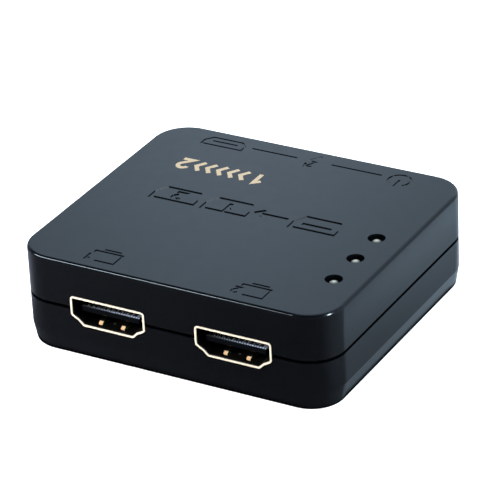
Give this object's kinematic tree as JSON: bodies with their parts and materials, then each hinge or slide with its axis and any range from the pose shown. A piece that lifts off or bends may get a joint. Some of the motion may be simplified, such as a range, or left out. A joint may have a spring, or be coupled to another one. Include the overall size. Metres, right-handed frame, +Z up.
{
  "type": "video splitter",
  "caption": "Small black two-shell box that splits a video signal: gold-rimmed sockets front and rear, a power inlet, a slide switch and recessed lamps in the top.",
  "frame": {"origin": "centre of the footprint, on the plane that the feet stand on", "axes": "+X to the right as seen from the output side, +Y from the output side to the input side, +Z up"},
  "size_m": [0.062, 0.0562, 0.0195],
  "materials": {
    "case_black": "black moulded ABS with a satin gloss",
    "screw_steel": "blackened steel",
    "foot_rubber": "matt black rubber",
    "board_green": "green solder resist",
    "socket_gold": "gold-plated sheet",
    "contact_gold": "gold-plated contact strip",
    "insulator_black": "black moulded insulator",
    "inlet_nickel": "nickel-plated sheet",
    "tin_plate": "tin-plated",
    "switch_brown": "brown laminate",
    "slider_black": "black moulded plastic",
    "lamp_white": "milky diffusing resin",
    "chip_black": "black moulding compound",
    "can_silver": "drawn metal can"
  },
  "bodies": {
    "case": {"top_cover": "case_black", "bottom_cover": "case_black", "case_screws": "screw_steel", "foot_front_left": "foot_rubber", "foot_front_right": "foot_rubber", "foot_rear_left": "foot_rubber", "foot_rear_right": "foot_rubber", "circuit_board": "board_green", "output_1_shell": "socket_gold", "output_1_insulator": "insulator_black", "output_1_contacts": "contact_gold", "output_2_shell": "socket_gold", "output_2_insulator": "insulator_black", "output_2_contacts": "contact_gold", "input_shell": "socket_gold", "input_insulator": "insulator_black", "input_contacts": "contact_gold", "power_inlet_shell": "inlet_nickel", "power_inlet_insulator": "insulator_black", "power_inlet_contacts": "contact_gold", "switch_housing": "tin_plate", "switch_base": "switch_brown", "switch_pins": "tin_plate", "lamp_rear": "lamp_white", "lamp_middle": "lamp_white", "lamp_front": "lamp_white", "lamp_leads": "tin_plate", "splitter_chip": "chip_black", "splitter_chip_leads": "tin_plate", "memory_chip": "chip_black", "memory_chip_leads": "tin_plate", "voltage_regulator": "chip_black", "voltage_regulator_leads": "tin_plate", "crystal_can": "can_silver", "capacitor_bases": "chip_black", "capacitor_cans": "can_silver", "chip_resistors": "chip_black"},
    "slider": {"switch_slider": "slider_black"}
  },
  "joints": [
    {"name": "power_switch_slide", "type": "slide", "parent": "case", "child": "slider", "axis": [1, 0, 0], "range_m": [0, 0.002]}
  ]
}
